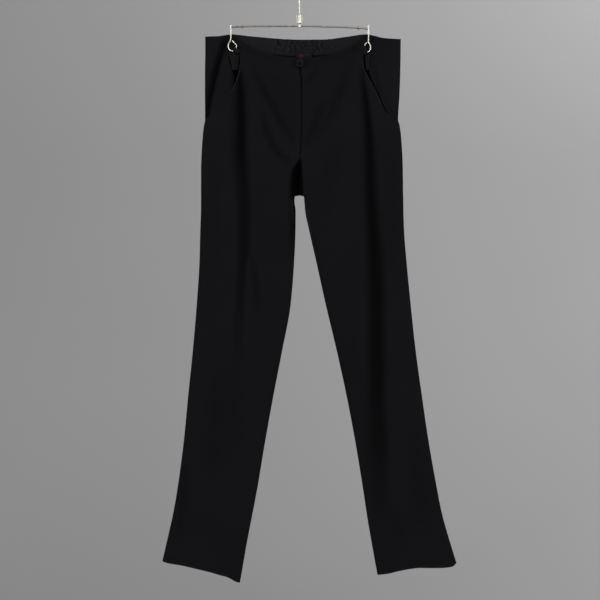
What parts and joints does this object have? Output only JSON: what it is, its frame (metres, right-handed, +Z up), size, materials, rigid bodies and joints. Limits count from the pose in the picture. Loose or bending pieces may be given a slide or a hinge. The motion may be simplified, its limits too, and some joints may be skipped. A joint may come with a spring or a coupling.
{
  "type": "slim trousers on a hanger",
  "caption": "Slim black trousers hung flat from small hooks on a thin wire hanger, with slanted pocket mouths, a gathered back waist and a front zip with a swinging pull tab.",
  "frame": {"origin": "inside crown of the hanger's top hook, where a rail carries it", "axes": "+X to the right as seen from the front, +Y from the front to the back, +Z up along the hanger's stem"},
  "size_m": [0.5735, 0.0469, 1.1986],
  "materials": {
    "cloth": "matte black woven suiting with a faint cool cast",
    "loop_tape": "black cloth strip, edges turned and stitched",
    "label_cloth": "smooth black woven tab with one plain red bar",
    "zip_tape": "black woven tape with coil teeth",
    "zip_metal": "dark gunmetal, satin, worn brighter on its edges",
    "hanger_wire": "polished nickel wire",
    "hanger_fitting": "satin nickel, turned"
  },
  "bodies": {
    "root": {"front_left": "cloth", "front_right": "cloth", "back_left": "cloth", "back_right": "cloth", "hip_left": "cloth", "hip_right": "cloth", "loop_left": "loop_tape", "loop_right": "loop_tape", "label": "label_cloth", "zip_tape": "zip_tape", "zip_slider": "zip_metal", "hanger_hook": "hanger_wire", "hanger_ferrule": "hanger_fitting", "hanger_bar": "hanger_wire", "hanger_collar_left": "hanger_fitting", "hanger_collar_right": "hanger_fitting", "ring_left": "hanger_wire", "ring_right": "hanger_wire"},
    "zip_pull": {"zip_pull": "zip_metal"}
  },
  "joints": [
    {"name": "zip_pull_hinge", "type": "hinge", "parent": "root", "child": "zip_pull", "pos_m": [0.0008, -0.0274, -0.1814], "axis": [-1, 0, 0], "range_deg": [0, 165]}
  ]
}
